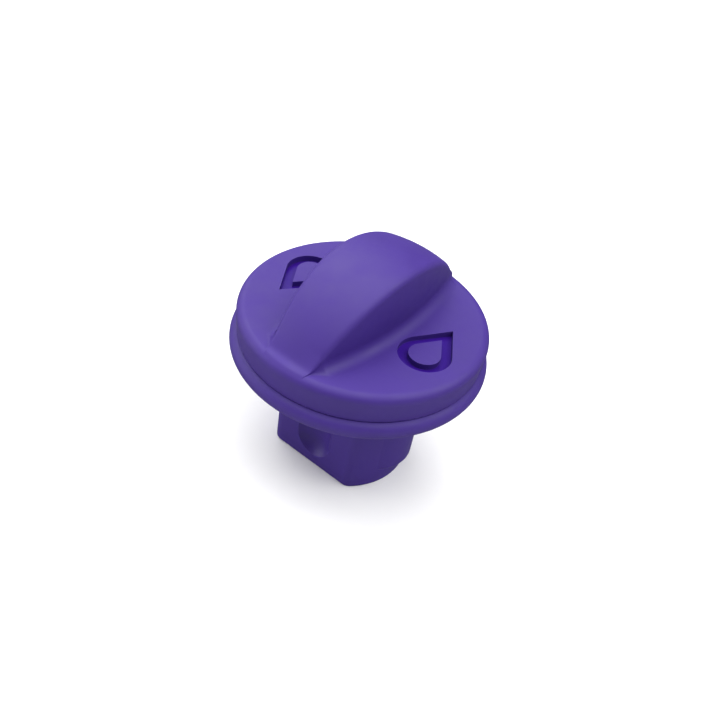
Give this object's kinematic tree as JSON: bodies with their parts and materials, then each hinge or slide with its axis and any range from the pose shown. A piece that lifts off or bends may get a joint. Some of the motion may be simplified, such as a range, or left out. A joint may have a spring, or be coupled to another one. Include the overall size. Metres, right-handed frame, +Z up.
{
  "type": "twist-in irrigation plug",
  "caption": "Twist-in plug for an irrigation body: a round cap with an arched grip bar turns a hollow double-D key inside a beaded seat ring.",
  "frame": {"origin": "centre of the key's flat bottom end, on the turning axis", "axes": "+Z up the turning axis towards the grip, +Y along the grip bar, +X towards the middle of one lug"},
  "size_m": [0.0522, 0.0522, 0.0493],
  "materials": {
    "cap_plastic": "satin moulded polypropylene, reclaimed-water purple",
    "key_plastic": "satin moulded acetal, reclaimed-water purple",
    "seal_rubber": "moulded EPDM, dark grey",
    "slip_plastic": "natural acetal",
    "screw_steel": "stainless steel",
    "insert_brass": "turned brass"
  },
  "bodies": {
    "seat": {"seat_ring": "cap_plastic", "ring_gasket": "seal_rubber"},
    "plug": {"grip_cap": "cap_plastic", "key_stem": "key_plastic", "shaft_seal": "seal_rubber", "slip_washer": "slip_plastic", "clamp_screw": "screw_steel", "screw_washer": "screw_steel", "thread_insert": "insert_brass"}
  },
  "joints": [
    {"name": "plug_turn", "type": "hinge", "parent": "seat", "child": "plug", "pos_m": [0, 0, 0.0279], "axis": [0, 0, 1], "range_deg": [0, 90]}
  ]
}
